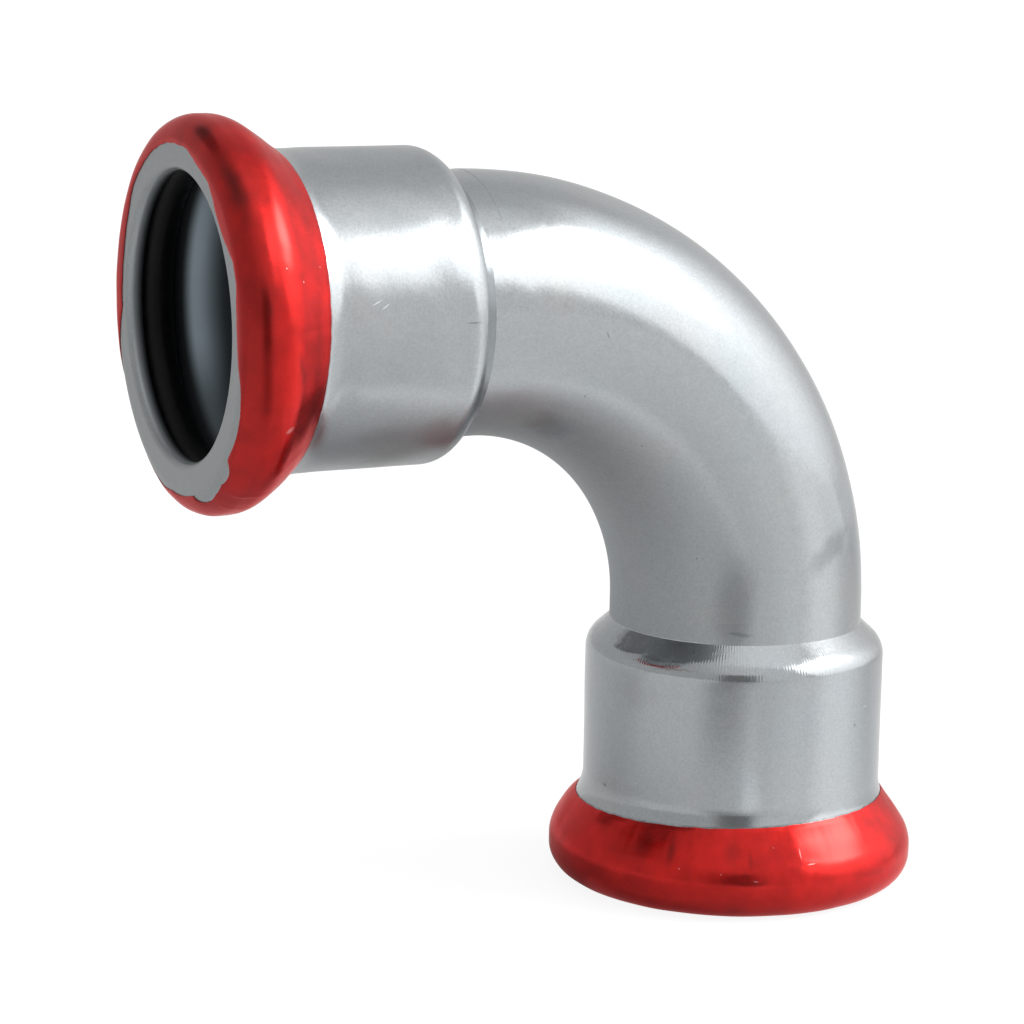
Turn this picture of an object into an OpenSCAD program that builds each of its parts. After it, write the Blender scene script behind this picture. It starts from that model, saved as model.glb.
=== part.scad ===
// Press elbow for pipe: a quarter bend with a rolled socket at each end.
// Each socket holds a round seal in its bead, and a coloured film is wrapped over the bead.
// Z is the lower socket's axis, the side socket faces -X, and the origin is the inner end of
// the lower bore, where the pipe stops. A socket's own section is drawn from its mouth at 0.

/* [Pipe] */
// Outside diameter of the pipe that the sockets take
pipe_od = 22; // [20:0.5:28]
// Gap between the pipe and the socket bore, all round
pipe_clearance = 0.25; // [0.1:0.05:0.5]

/* [Tube] */
// Outside diameter of the bent tube
tube_od = 21.5; // [19:0.25:22.5]
// Wall of the tube, the shoulders and the sockets
wall = 1.5; // [1:0.1:2]
// Radius of the bend at the tube's centre line
bend_radius = 26.5; // [18:0.5:60]
// Least length of plain tube between each shoulder and the bend
straight = 1.75; // [0.5:0.05:30]

/* [Socket] */
// Depth of the bore's inner end behind the mouth
socket_depth = 19.5; // [15:0.5:35]
// Slope of the shoulder against the socket's axis
shoulder_angle = 48; // [35:1:60]
// Inside radius where the bore turns into the shoulder
shoulder_round = 0.7; // [0.3:0.1:1]

/* [Bead] */
// Wall of the bead, which is stretched thinner than the socket
bead_wall = 1.25; // [1:0.05:1.5]
// Inside radius of the seal chamber's corner at the mouth
chamber_corner = 0.85; // [0.3:0.05:1.2]
// Gap between the pipe and the lip of the mouth, all round
lip_clearance = 0.35; // [0.2:0.05:0.6]
// Rounding of the lip
lip_round = 0.6; // [0.2:0.1:0.9]
// Slope of the flare behind the seal against the socket's axis
flare_angle = 38; // [30:1:48]
// Radius of the foot where the flare runs out on the socket
foot_round = 4.7; // [2:0.1:8]
// Length of the cone that leads the pipe from the chamber into the bore
lead_in = 1.5; // [0.5:0.1:3]

/* [Seal] */
// Thickness of the seal's round section
seal_section = 3; // [2.5:0.1:3.5]
// Gap between the pipe and the seal
seal_pipe_gap = 0.2; // [0.05:0.05:0.3]
// Gap between the seal and its chamber
seal_clearance = 0.05; // [0.02:0.01:0.2]

/* [Indicator film] */
// Thickness of the film
film_thickness = 0.12; // [0.08:0.01:0.3]
// Adhesive layer between the film and the bead
film_adhesive = 0.02; // [0.02:0.01:0.1]
// Distance of the film's back edge behind the mouth
film_reach = 7; // [6:0.1:8]
// Width of the film's turned-in border on the mouth face
film_border = 0.25; // [0.1:0.05:0.6]
// Shift of the film's opening to one side of the mouth
film_shift = 0.4; // [0:0.05:0.6]
// Slant of the lower film's back edge, in degrees
lower_film_slant = 2; // [0:0.1:4]
// Slant of the side film's back edge, in degrees
side_film_slant = 2.7; // [0:0.1:4]
// Radius of the two tears in the side film's border
tear_radius = 4; // [2:0.1:5]
// How far the tears reach past the film's border
tear_depth = 1.5; // [0.5:0.1:1.6]

/* [Hidden] */
$fn = 120;

// Directions, in degrees about a socket's axis
lower_slant_turn = 123;
side_slant_turn = 55;
lower_shift_turn = 40;
side_shift_turn = -90;
tear_turns = [-56, -32];

// Radii about a socket's axis
bore_r = pipe_od / 2 + pipe_clearance;
lip_r = pipe_od / 2 + lip_clearance;
socket_r = bore_r + wall;
tube_r = tube_od / 2;
tube_bore_r = tube_r - wall;

// Seal and bead: the crest of the bead is concentric with the seal's section
seal_c = [pipe_od / 2 + seal_pipe_gap + seal_section / 2,
          bead_wall + seal_clearance + seal_section / 2];
chamber_round = seal_section / 2 + seal_clearance;
crest_round = chamber_round + bead_wall;
bead_r = seal_c[0] + crest_round;
mouth_round = chamber_corner + bead_wall;
mouth_c = [bead_r - mouth_round, mouth_round];

// Flare: a line tangent to the crest and to the foot's circle
flare_out = [cos(flare_angle), sin(flare_angle)];
foot_c = [socket_r + foot_round,
          (seal_c * flare_out + crest_round + foot_round - (socket_r + foot_round) * flare_out[0])
          / flare_out[1]];

// Shoulder: a cone from the socket to a sharp corner on the tube
shoulder_out = [cos(shoulder_angle), sin(shoulder_angle)];
turn_c = [bore_r - shoulder_round, socket_depth];
cone_start = turn_c + (shoulder_round + wall) * shoulder_out;
corner = [tube_r, cone_start[1] + (cone_start[0] - tube_r) / tan(shoulder_angle)];

// Legs: both sockets end where the bend starts, at a whole step of leg_step
leg_step = 0.1;
socket_end = ceil((corner[1] + straight) / leg_step) * leg_step;
leg = socket_end + bend_radius;
side_axis_z = leg - socket_depth;

// Film: how far cuts reach past what they cut
cut_over = 2;
film_open_r = mouth_c[0] - film_border;

// Places a socket's own frame, mouth at 0 and bore towards +Z, at the two ends of the elbow
module at_lower() {
    translate([0, 0, -socket_depth]) children();
}

module at_side() {
    translate([-leg, 0, side_axis_z]) rotate([0, 90, 0]) children();
}

module disc(centre, radius) {
    translate(centre) circle(r = radius);
}

// Filled section of the bead, grown outwards by grow, from the mouth to the foot
module bead_section(grow) {
    difference() {
        union() {
            polygon([
                [0, -grow],
                [mouth_c[0], -grow],
                mouth_c,
                [bead_r + grow, mouth_c[1]],
                [bead_r + grow, seal_c[1]],
                seal_c,
                seal_c + (crest_round + grow) * flare_out,
                foot_c - (foot_round - grow) * flare_out,
                [socket_r + grow, foot_c[1]],
                [0, foot_c[1]]
            ]);
            disc(mouth_c, mouth_round + grow);
            disc(seal_c, crest_round + grow);
        }
        disc(foot_c, foot_round - grow);
    }
}

// Filled section of the socket's cylinder, its shoulder and the plain tube
module neck_section() {
    polygon([
        [0, foot_c[1]],
        [socket_r, foot_c[1]],
        [socket_r, socket_depth],
        turn_c,
        cone_start,
        corner,
        [tube_r, socket_end],
        [0, socket_end]
    ]);
    disc(turn_c, shoulder_round + wall);
}

// Section of the open space inside a socket
module hollow_section() {
    difference() {
        union() {
            polygon([
                [0, -cut_over],
                [lip_r + lip_round, -cut_over],
                [lip_r + lip_round, 0],
                [lip_r, lip_round],
                [lip_r, bead_wall],
                [mouth_c[0], bead_wall],
                mouth_c,
                [bead_r - bead_wall, mouth_c[1]],
                [bead_r - bead_wall, seal_c[1]],
                seal_c,
                seal_c + chamber_round * flare_out,
                foot_c - (foot_round + bead_wall) * flare_out,
                [socket_r - bead_wall, foot_c[1]],
                [bore_r, foot_c[1] + lead_in],
                [bore_r, socket_depth],
                turn_c,
                turn_c + shoulder_round * shoulder_out,
                corner - wall * shoulder_out,
                [tube_bore_r, corner[1]],
                [tube_bore_r, socket_end + cut_over],
                [0, socket_end + cut_over]
            ]);
            disc(mouth_c, chamber_corner);
            disc(seal_c, chamber_round);
            disc(turn_c, shoulder_round);
        }
        disc([lip_r + lip_round, lip_round], lip_round);
        disc(foot_c, foot_round + bead_wall);
        disc(corner, wall);
    }
}

module socket() {
    rotate_extrude() difference() {
        union() {
            bead_section(0);
            neck_section();
        }
        hollow_section();
    }
}

module bend() {
    translate([-bend_radius, 0, side_axis_z - bend_radius])
        rotate([90, 0, 0])
            rotate_extrude(angle = 90)
                translate([bend_radius, 0]) difference() {
                    circle(r = tube_r);
                    circle(r = tube_bore_r);
                }
}

module seal() {
    rotate_extrude() disc(seal_c, seal_section / 2);
}

// Film over the bead, with its opening shifted to one side and its back edge slanted
module film(slant, slant_turn, shift_turn, tears) {
    difference() {
        rotate_extrude() difference() {
            bead_section(film_adhesive + film_thickness);
            bead_section(film_adhesive);
        }
        translate([film_shift * cos(shift_turn), film_shift * sin(shift_turn), -cut_over])
            cylinder(r = film_open_r, h = cut_over + mouth_round);
        for (turn = tears)
            rotate(turn) translate([film_open_r + tear_depth - tear_radius, 0, -cut_over])
                cylinder(r = tear_radius, h = cut_over + mouth_round);
        translate([0, 0, film_reach]) rotate(slant_turn) rotate([0, slant, 0])
            cylinder(r = bead_r + cut_over, h = foot_c[1]);
    }
}

module elbow_body() {
    color("lightsteelblue") union() {
        at_lower() socket();
        at_side() socket();
        bend();
    }
}

module lower_seal() {
    color("black") at_lower() seal();
}

module side_seal() {
    color("black") at_side() seal();
}

module lower_indicator_film() {
    color("red") at_lower() film(lower_film_slant, lower_slant_turn, lower_shift_turn, []);
}

module side_indicator_film() {
    color("red") at_side() film(side_film_slant, side_slant_turn, side_shift_turn, tear_turns);
}

elbow_body();
lower_seal();
side_seal();
lower_indicator_film();
side_indicator_film();
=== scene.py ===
import math
import bpy
import numpy as np
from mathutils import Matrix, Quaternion, Vector, noise


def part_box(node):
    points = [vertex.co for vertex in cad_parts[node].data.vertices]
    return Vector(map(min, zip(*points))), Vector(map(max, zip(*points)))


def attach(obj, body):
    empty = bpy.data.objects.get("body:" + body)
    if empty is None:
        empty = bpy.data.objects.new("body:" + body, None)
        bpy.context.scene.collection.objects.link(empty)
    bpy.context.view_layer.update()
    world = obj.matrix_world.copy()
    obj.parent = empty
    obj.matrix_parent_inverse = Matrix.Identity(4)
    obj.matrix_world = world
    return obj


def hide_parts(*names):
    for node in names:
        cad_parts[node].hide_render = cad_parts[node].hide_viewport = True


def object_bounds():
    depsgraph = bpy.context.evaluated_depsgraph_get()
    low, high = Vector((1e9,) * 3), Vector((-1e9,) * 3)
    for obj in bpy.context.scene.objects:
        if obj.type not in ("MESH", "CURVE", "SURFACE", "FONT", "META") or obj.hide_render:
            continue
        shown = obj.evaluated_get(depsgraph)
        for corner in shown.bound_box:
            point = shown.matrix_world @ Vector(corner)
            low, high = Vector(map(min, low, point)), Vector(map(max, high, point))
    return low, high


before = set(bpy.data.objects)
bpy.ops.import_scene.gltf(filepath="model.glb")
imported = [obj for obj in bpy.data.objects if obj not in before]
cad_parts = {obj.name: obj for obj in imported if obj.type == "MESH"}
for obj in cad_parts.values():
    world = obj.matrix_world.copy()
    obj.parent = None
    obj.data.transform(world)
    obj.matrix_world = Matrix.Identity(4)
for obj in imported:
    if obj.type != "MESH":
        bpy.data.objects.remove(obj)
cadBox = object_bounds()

mm = 0.001
mergeReach = 0.002 * mm
samePoint = 0.01
quarter = math.pi / 2
print("frame loaded, nodes:", sorted(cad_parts))


# small helpers for working by hand in the viewport

def deselectAll():
    if bpy.context.object and bpy.context.object.mode != "OBJECT":
        bpy.ops.object.mode_set(mode="OBJECT")
    bpy.ops.object.select_all(action="DESELECT")


def workOn(piece):
    deselectAll()
    piece.select_set(True)
    bpy.context.view_layer.objects.active = piece


def applyTransform():
    bpy.ops.object.transform_apply(location=True, rotation=True, scale=True)


def drawProfile(name, points):
    # one vertex, pulled along the section by extruding it
    deselectAll()
    bpy.ops.mesh.primitive_plane_add(size=mm, location=points[0])
    piece = bpy.context.object
    piece.name = name
    piece.data.name = name
    applyTransform()
    bpy.ops.object.mode_set(mode="EDIT")
    bpy.ops.mesh.select_mode(type="VERT")
    bpy.ops.mesh.select_all(action="SELECT")
    bpy.ops.mesh.merge(type="CENTER")
    for here, there in zip(points, points[1:]):
        bpy.ops.mesh.extrude_region_move(TRANSFORM_OT_translate={"value": there - here})
    return piece


def spinRound(steps, turn, centre, axis):
    bpy.ops.mesh.select_all(action="SELECT")
    bpy.ops.mesh.spin(steps=steps, angle=turn, center=centre, axis=axis)
    bpy.ops.mesh.select_all(action="SELECT")
    bpy.ops.mesh.remove_doubles(threshold=mergeReach)


def turnFacesOut():
    bpy.ops.mesh.select_all(action="SELECT")
    bpy.ops.mesh.remove_doubles(threshold=mergeReach)
    bpy.ops.mesh.normals_make_consistent(inside=False)
    bpy.ops.object.mode_set(mode="OBJECT")


def smoothBelow(piece, degrees):
    workOn(piece)
    bpy.ops.object.shade_smooth_by_angle(angle=math.radians(degrees))


def applyAll(piece):
    workOn(piece)
    for name in [m.name for m in piece.modifiers]:
        bpy.ops.object.modifier_apply(modifier=name)


def toSide(piece):
    # from the lower leg to the side leg
    workOn(piece)
    piece.rotation_euler = sideTurn
    piece.location = sidePlace
    applyTransform()


def sideCopy(piece, name):
    workOn(piece)
    bpy.ops.object.duplicate()
    twin = bpy.context.object
    twin.name = name
    twin.data.name = name
    toSide(twin)
    return twin


# section of a press socket, in mm: (radius, distance from the mouth)
# the two split radii lie in the wall, between the bore and the skin

socket = {
    "tubeRadius": 10.75,
    "wall": 1.5,
    "socketRadius": 12.75,
    "boreRadius": 11.25,
    "lipRadius": 11.35,
    "lipRound": 0.6,
    "beadWall": 1.25,
    "chamberCorner": 0.85,
    "sealCentre": (12.7, 2.8),
    "sealSection": 3.0,
    "flareAngle": 38.0,
    "footRound": 4.7,
    "leadIn": 1.5,
    "depth": 19.5,
    "shoulderAngle": 48.0,
    "shoulderRound": 0.7,
    "end": 24.1,
    "bendRadius": 26.5,
    "splitSocket": 12.0,
    "splitTube": 10.0,
    "ringSteps": 192,
    "bendSteps": 72,
}

bodyLow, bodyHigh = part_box("elbow_body")
lowerMouthZ = bodyLow.z
sideMouthX = bodyLow.x
beadRadius = bodyHigh.x / mm
sideAxisZ = bodyHigh.z - bodyHigh.x
sideTurn = (0, math.radians(90), 0)
sidePlace = (sideMouthX - lowerMouthZ, 0, sideAxisZ)
bendX = -socket["bendRadius"]
bendZ = lowerMouthZ / mm + socket["end"]

sealR, sealS = socket["sealCentre"]
crestRound = beadRadius - sealR
mouthRound = socket["chamberCorner"] + socket["beadWall"]
mouthR = beadRadius - mouthRound
flare = math.radians(socket["flareAngle"])
footR = socket["socketRadius"] + socket["footRound"]
runOut = ((crestRound + socket["footRound"]) * math.cos(flare) - (footR - sealR)) / math.sin(flare)
footS = sealS + (crestRound + socket["footRound"]) * math.sin(flare) + runOut * math.cos(flare)
shoulder = math.radians(socket["shoulderAngle"])
turnRound = socket["shoulderRound"] + socket["wall"]
turnR = socket["socketRadius"] - turnRound
coneR = turnR + turnRound * math.cos(shoulder)
coneS = socket["depth"] + turnRound * math.sin(shoulder)
cornerS = coneS + (coneR - socket["tubeRadius"]) / math.tan(shoulder)
tubeBore = socket["tubeRadius"] - socket["wall"]


def arcPoints(centre, radius, fromAngle, toAngle, count):
    # angle 0 points straight out from the axis, 90 along it away from the mouth
    steps = [fromAngle + (toAngle - fromAngle) * i / count for i in range(count + 1)]
    return [(centre[0] + radius * math.cos(a), centre[1] + radius * math.sin(a)) for a in steps]


def linePoints(start, stop, count):
    return [
        (start[0] + (stop[0] - start[0]) * i / count, start[1] + (stop[1] - start[1]) * i / count)
        for i in range(count + 1)
    ]


def tidyChain(points):
    kept = [points[0]]
    for p in points[1:]:
        if math.dist(p, kept[-1]) > samePoint:
            kept.append(p)
    return kept


def onLower(r, s, turn=0.0):
    return Vector((r * math.cos(turn) * mm, r * math.sin(turn) * mm, lowerMouthZ + s * mm))


def socketSection():
    tube, bore, outer = socket["tubeRadius"], socket["boreRadius"], socket["socketRadius"]
    lip, lipRound = socket["lipRadius"], socket["lipRound"]
    corner, roof = socket["chamberCorner"], beadRadius - socket["beadWall"]
    depth, footRound = socket["depth"], socket["footRound"]
    backwards = math.pi
    points = linePoints((tube, socket["end"]), (tube, cornerS), 4)
    points += linePoints((tube, cornerS), (coneR, coneS), 6)
    points += arcPoints((turnR, depth), turnRound, shoulder, 0, 9)
    points += linePoints((outer, depth), (outer, footS), 20)
    points += arcPoints((footR, footS), footRound, backwards, backwards + flare, 12)
    points += arcPoints((sealR, sealS), crestRound, flare, 0, 10)
    points += arcPoints((mouthR, mouthRound), mouthRound, 0, -quarter, 12)
    points += linePoints((mouthR, 0), (lip + lipRound, 0), 6)
    points += arcPoints((lip + lipRound, lipRound), lipRound, -quarter, -backwards, 8)
    points += linePoints((lip, lipRound), (lip, mouthRound - corner), 2)
    points += arcPoints((mouthR, mouthRound), corner, -quarter, 0, 5)
    points += arcPoints((sealR, sealS), roof - sealR, 0, flare, 5)
    points += arcPoints((footR, footS), footRound + socket["beadWall"], backwards + flare, backwards, 8)
    points += linePoints((bore, footS + socket["leadIn"]), (bore, depth), 10)
    points += arcPoints((turnR, depth), socket["shoulderRound"], 0, shoulder, 4)
    points += arcPoints((tube, cornerS), socket["wall"], backwards + shoulder, backwards, 5)
    points += [(tubeBore, socket["end"])]
    return tidyChain(points)


# the elbow: two spun sockets and a swept bend, joined into one shell

# waviness of the drawn skin, in mm: wave length and height
skinWave = {"lower": (5.5, 0.03), "side": (4.5, 0.1), "bend": (7.0, 0.05), "fade": 2.0}


def windowed(along, start, stop):
    fade = skinWave["fade"]
    share = min(max(min(along - start, stop - along) / fade, 0.0), 1.0)
    return share * share * (3 - 2 * share)


def waveSkin(shell):
    first, last = footS, socket["depth"]
    arc = socket["bendRadius"] * quarter
    for v in shell.data.vertices:
        p = v.co / mm
        if p.z < bendZ:
            leg, out = "lower", Vector((p.x, p.y, 0))
            share = windowed(p.z - lowerMouthZ / mm, first, last)
        elif p.x < bendX:
            leg, out = "side", Vector((0, p.y, p.z - sideAxisZ / mm))
            share = windowed(p.x - sideMouthX / mm, first, last)
        else:
            leg, spine = "bend", Vector((p.x - bendX, 0, p.z - bendZ))
            out = p - Vector((bendX, 0, bendZ)) - spine.normalized() * socket["bendRadius"]
            share = windowed(math.atan2(spine.z, spine.x) * socket["bendRadius"], 0, arc)
        size, high = skinWave[leg]
        limit = socket["splitTube"] if leg == "bend" else socket["splitSocket"]
        if share > 0 and out.length > limit:
            v.co += out.normalized() * (mm * share * high * noise.noise(p / size))


def makeElbow():
    steps = socket["ringSteps"]
    section = [onLower(r, s) for r, s in socketSection()]
    shell = drawProfile("elbowShell", section)
    spinRound(steps, math.tau, (0, 0, 0), (0, 0, 1))
    bpy.ops.object.mode_set(mode="OBJECT")
    sideSocket = sideCopy(shell, "sideSocket")
    start = (0, 0, lowerMouthZ + socket["end"] * mm)
    deselectAll()
    bpy.ops.mesh.primitive_circle_add(vertices=steps, radius=socket["tubeRadius"] * mm, location=start)
    bend = bpy.context.object
    applyTransform()
    bpy.ops.object.mode_set(mode="EDIT")
    bpy.ops.mesh.primitive_circle_add(vertices=steps, radius=tubeBore * mm, location=start)
    spinRound(socket["bendSteps"], quarter, (-socket["bendRadius"] * mm, 0, start[2]), (0, 1, 0))
    deselectAll()
    for part in (sideSocket, bend, shell):
        part.select_set(True)
    bpy.context.view_layer.objects.active = shell
    bpy.ops.object.join()
    bpy.ops.object.mode_set(mode="EDIT")
    turnFacesOut()
    waveSkin(shell)
    smoothBelow(shell, 30)
    return shell


elbowShell = makeElbow()
print("elbow shell:", len(elbowShell.data.polygons), "faces")


# seals: an O-ring with the fine moulding line round its inside

sealRing = {"sectionSteps": 40, "ringSteps": 160, "mouldLine": 0.05, "mouldWidth": 7.0}


def makeSeal():
    radius = socket["sealSection"] / 2
    points = []
    for i in range(sealRing["sectionSteps"]):
        a = math.tau * i / sealRing["sectionSteps"]
        off = math.degrees(abs(a - math.pi))
        grow = sealRing["mouldLine"] * max(0.0, 1 - off / sealRing["mouldWidth"])
        points.append(onLower(sealR + (radius + grow) * math.cos(a), sealS + radius * math.sin(a)))
    ring = drawProfile("lowerSealRing", points + points[:1])
    spinRound(sealRing["ringSteps"], math.tau, (0, 0, 0), (0, 0, 1))
    turnFacesOut()
    smoothBelow(ring, 60)
    return ring


lowerSealRing = makeSeal()
sideSealRing = sideCopy(lowerSealRing, "sideSealRing")
print("seals done")


# indicator film: a thin printed foil shrunk over each bead

film = {
    "lift": 0.05,
    "thickness": 0.05,
    "rows": 62,
    "columns": 384,
    "faceWidth": 1.5,
    "edgeRough": 0.05,
    "edgeWaves": 14,
    "hemRough": 0.09,
    "hemWaves": 9,
    "hemNicks": 40,
    "hemLeast": 0.3,
    "facets": 0.024,
    "facetsRound": 6.0,
    "facetsAlong": 0.22,
    "pleats": 0.008,
    "pleatsRound": 34,
    "pleatsAlong": 0.12,
    "pleatsFrom": 0.5,
    "pleatsGrow": 2.2,
    "creaseEnds": 0.35,
    "room": 0.038,
    "bridge": 0.17,
    "bridgeFrom": 3.6,
    "archTop": 6.75,
    "folds": 30,
    "foldShift": 0.4,
    "pressWidth": 0.25,
    "pressDown": 0.85,
}

# waves: turn, half width in degrees, mm added to the bare ring, how blunt the wave is
# creases: turn and depth of both ends, height and half width, in degrees and mm
lowerFilm = {
    "reach": 7.03,
    "slant": 0.455,
    "slantTurn": -57.4,
    "hem": 1.4,
    "seed": 3.0,
    "foldHigh": 0.16,
    "waves": ((-140, 40, -0.5, 1.0), (10, 35, 0.6, 0.8), (95, 25, -0.4, 1.0)),
    "creases": (
        (-96.2, 6.3, -96.0, 4.7, 0.03, 0.22),
        (-96.0, 4.7, -90.5, 4.5, 0.03, 0.2),
        (-91.3, 4.4, -95.4, 2.0, -0.025, 0.3),
        (-115.7, 3.5, -109.3, 3.5, -0.03, 0.3),
        (-121.5, 7.2, -121.0, 3.0, 0.02, 0.5),
        (-133.5, 7.2, -131.0, 4.0, 0.022, 0.5),
        (-147.0, 7.2, -143.0, 4.2, -0.02, 0.6),
        (-118.0, 6.8, -117.0, 4.6, -0.02, 0.4),
        (-105.5, 6.9, -106.5, 4.4, -0.02, 0.5),
        (-62.0, 3.6, -55.0, 4.2, -0.02, 0.35),
        (20.0, 6.9, 24.0, 3.0, 0.025, 0.4),
        (75.0, 7.0, 73.0, 3.6, -0.025, 0.4),
        (130.0, 7.0, 127.0, 2.6, 0.025, 0.4),
        (165.0, 6.8, 168.0, 4.0, -0.02, 0.5),
    ),
}
sideFilm = {
    "reach": 6.94,
    "slant": 0.62,
    "slantTurn": -125.1,
    "hem": 1.5,
    "seed": 11.0,
    "foldHigh": 0.08,
    "waves": (
        (-155, 14, -0.4, 1.0),
        (-131, 16, -1.05, 1.0),
        (-94, 14, -0.5, 1.0),
        (-59, 22, 0.95, 0.8),
        (-31, 17, 1.4, 0.7),
        (0, 30, 0.6, 1.0),
        (46, 40, 1.7, 1.0),
        (97, 36, -0.85, 1.0),
    ),
    "creases": (
        (-92.0, 3.0, -92.3, 7.0, -0.025, 0.25),
        (-99.5, 1.5, -97.5, 1.8, -0.03, 0.5),
        (-36.0, 0.9, -34.5, 4.2, 0.03, 0.2),
        (-27.0, 0.9, -24.0, 3.6, 0.03, 0.2),
        (-15.0, 1.4, -14.0, 4.6, -0.025, 0.3),
        (-70.0, 6.9, -66.0, 4.2, -0.03, 0.6),
        (-50.0, 6.9, -45.0, 4.0, 0.03, 0.5),
        (-116.0, 2.4, -112.0, 4.2, -0.02, 0.6),
        (-146.0, 0.4, -127.0, 1.0, -0.02, 0.8),
        (-168.0, 0.5, -160.0, 1.2, -0.025, 0.7),
        (88.0, 1.0, 92.0, 1.1, 0.03, 0.15),
        (40.0, 6.7, 44.0, 2.8, 0.025, 0.4),
        (95.0, 6.7, 92.0, 3.4, -0.025, 0.4),
        (150.0, 6.6, 152.0, 3.0, 0.02, 0.4),
    ),
}
faceRows = 13
faceStart = mouthR - film["faceWidth"]


def filmLine(lift):
    # the bead's outside from the mouth face to the socket, and the length run along it
    points = linePoints((faceStart, -lift), (mouthR, -lift), faceRows - 1)
    points += arcPoints((mouthR, mouthRound), mouthRound + lift, -quarter, 0, 60)
    points += arcPoints((sealR, sealS), crestRound + lift, 0, flare, 40)
    points += arcPoints((footR, footS), socket["footRound"] - lift, math.pi + flare, math.pi, 60)
    points = np.array(tidyChain(points))
    run = np.concatenate([[0.0], np.cumsum(np.hypot(*np.diff(points, axis=0).T))])
    return points, run


def runAtDepth(depth, line, run):
    return np.interp(depth, line[faceRows:, 1], run[faceRows:])


def hemLine(turn, look):
    # length of bare ring inside the hem, pulled back where the film is torn
    bare = np.full_like(turn, look["hem"])
    for middle, half, change, blunt in look["waves"]:
        away = (np.degrees(turn) - middle + 180) % 360 - 180
        across = np.clip(np.abs(away) / half, 0, 1)
        bare += change * (1 - across ** 2) ** blunt
    return bare


def creaseLift(turn, run, look, line, lineRun):
    lift = np.zeros_like(turn)
    ends = film["creaseEnds"]
    for turnA, depthA, turnB, depthB, high, half in look["creases"]:
        ax, bx = np.radians(turnA) * beadRadius, np.radians(turnB) * beadRadius
        ay, by = runAtDepth(depthA, line, lineRun), runAtDepth(depthB, line, lineRun)
        whole = math.tau * beadRadius
        px = ax + (turn * beadRadius - ax + whole / 2) % whole - whole / 2
        share = ((px - ax) * (bx - ax) + (run - ay) * (by - ay)) / ((bx - ax) ** 2 + (by - ay) ** 2)
        share = np.clip(share, 0, 1)
        away = np.hypot(px - ax - share * (bx - ax), run - ay - share * (by - ay))
        taper = ends + (1 - ends) * np.sin(np.pi * (0.1 + 0.8 * share))
        lift += high * np.exp(-(away / half) ** 2) * taper
    return lift


def foldLift(turn, look):
    # flat facets between upright folds, spaced unevenly round the bead
    dice = np.random.default_rng(int(look["seed"]))
    count, shift = film["folds"], film["foldShift"]
    places = (np.arange(count) + dice.uniform(-shift, shift, count)) * math.tau / count
    heights = dice.uniform(-0.5, 0.5, count)
    return look["foldHigh"] * np.interp(turn, places, heights, period=math.tau)


def roughLine(turn, depth, seed, waves, drift):
    return np.array([
        noise.noise(Vector((math.cos(a) * waves, math.sin(a) * waves, seed + d * drift)))
        for a, d in zip(turn, depth)
    ])


def makeFilm(name, look):
    line, run = filmLine(film["lift"])
    slope = np.gradient(line, axis=0)
    out = np.stack([slope[:, 1], -slope[:, 0]], 1) / np.hypot(*slope.T)[:, None]
    rows = np.linspace(0, 1, film["rows"])
    along = look["hem"] + (runAtDepth(look["reach"], line, run) - look["hem"]) * rows
    chainR = np.interp(along, run, line[:, 0])
    chainS = np.interp(along, run, line[:, 1])
    foil = drawProfile(name, [onLower(r, s) for r, s in zip(chainR, chainS)])
    spinRound(film["columns"], math.tau, (0, 0, 0), (0, 0, 1))
    bpy.ops.object.mode_set(mode="OBJECT")
    place = np.array([v.co for v in foil.data.vertices]) / mm
    turn = np.arctan2(place[:, 1], place[:, 0])
    radius = np.hypot(place[:, 0], place[:, 1])
    depth = place[:, 2] - lowerMouthZ / mm
    row = np.argmin(np.hypot(radius[:, None] - chainR, depth[:, None] - chainS), axis=1)
    share = rows[row]
    seed = look["seed"]
    still = np.zeros_like(turn)
    edge = look["reach"] + look["slant"] * np.cos(turn - math.radians(look["slantTurn"]))
    edge += film["edgeRough"] * roughLine(turn, still, seed, film["edgeWaves"], 0)
    first = hemLine(turn, look)
    first += film["hemRough"] * roughLine(turn, still, seed + 5, film["hemWaves"], 0)
    first += 0.5 * film["hemRough"] * roughLine(turn, still, seed + 8, film["hemNicks"], 0)
    first = np.maximum(first, film["hemLeast"])
    last = runAtDepth(edge, line, run)
    at = first + (last - first) * share
    lift = film["facets"] * roughLine(turn, at, seed, film["facetsRound"], film["facetsAlong"])
    pleated = np.clip((share - film["pleatsFrom"]) * film["pleatsGrow"], 0, 1)
    pleats = roughLine(turn, at, seed + 3, film["pleatsRound"], film["pleatsAlong"])
    lift += film["pleats"] * pleats * pleated
    lift += creaseLift(turn, at, look, line, run)
    lift = film["room"] * np.tanh(lift / film["room"])
    bridgeRun = runAtDepth(film["bridgeFrom"], line, run)
    span = np.clip((at - bridgeRun) / (last - bridgeRun), 0, 1)
    arch = film["archTop"] * span ** 2 * (1 - span)
    lift += arch * (film["bridge"] + foldLift(turn, look))
    pressed = np.clip(1 - np.minimum(at - first, last - at) / film["pressWidth"], 0, 1)
    lift = lift * (1 - pressed) - film["pressDown"] * film["lift"] * pressed
    newR = np.interp(at, run, line[:, 0]) + lift * np.interp(at, run, out[:, 0])
    newS = np.interp(at, run, line[:, 1]) + lift * np.interp(at, run, out[:, 1])
    for v, r, s, a in zip(foil.data.vertices, newR, newS, turn):
        v.co = onLower(r, s, a)
    workOn(foil)
    bpy.ops.object.mode_set(mode="EDIT")
    turnFacesOut()
    outward = sum(p.normal.x * p.center.x + p.normal.y * p.center.y for p in foil.data.polygons)
    solid = foil.modifiers.new("foilThickness", "SOLIDIFY")
    solid.thickness = film["thickness"] * mm
    solid.offset = 1.0 if outward > 0 else -1.0
    applyAll(foil)
    smoothBelow(foil, 45)
    return foil


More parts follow.
